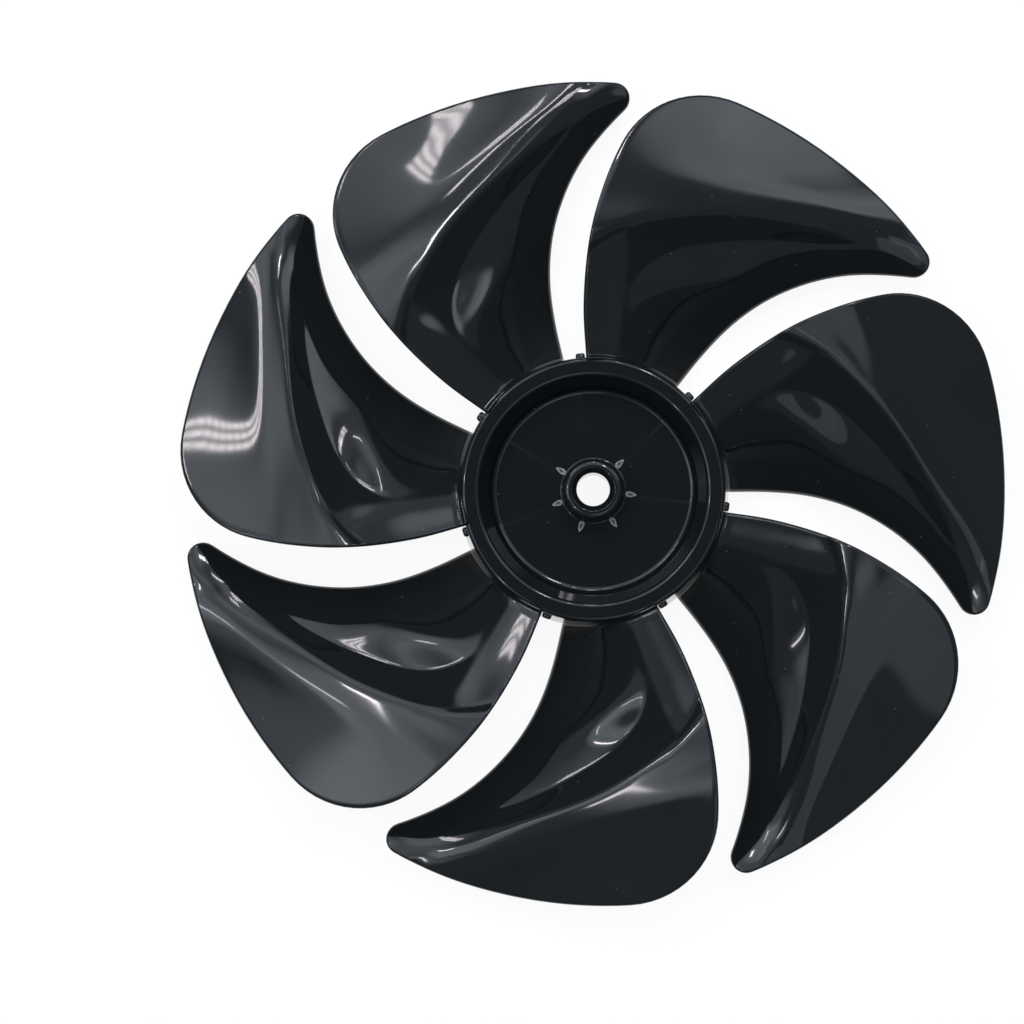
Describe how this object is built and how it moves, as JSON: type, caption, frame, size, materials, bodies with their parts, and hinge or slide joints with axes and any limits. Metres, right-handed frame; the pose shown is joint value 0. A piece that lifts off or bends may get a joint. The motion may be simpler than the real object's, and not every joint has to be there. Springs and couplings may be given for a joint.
{
  "type": "pedestal fan blade",
  "caption": "One-piece moulded fan impeller: swept twisted blades with soft folds round a dished hub with a central shaft bore.",
  "frame": {"origin": "on the axis of rotation, at the plane of the hub's rear rim", "axes": "+Z along the axis towards the front of the fan, +X to the right and +Y up as the front is seen"},
  "size_m": [0.299, 0.3, 0.0381],
  "materials": {
    "black_plastic": "polished-mould glossy black plastic"
  },
  "bodies": {
    "root": {"fan_blade": "black_plastic"}
  },
  "joints": []
}
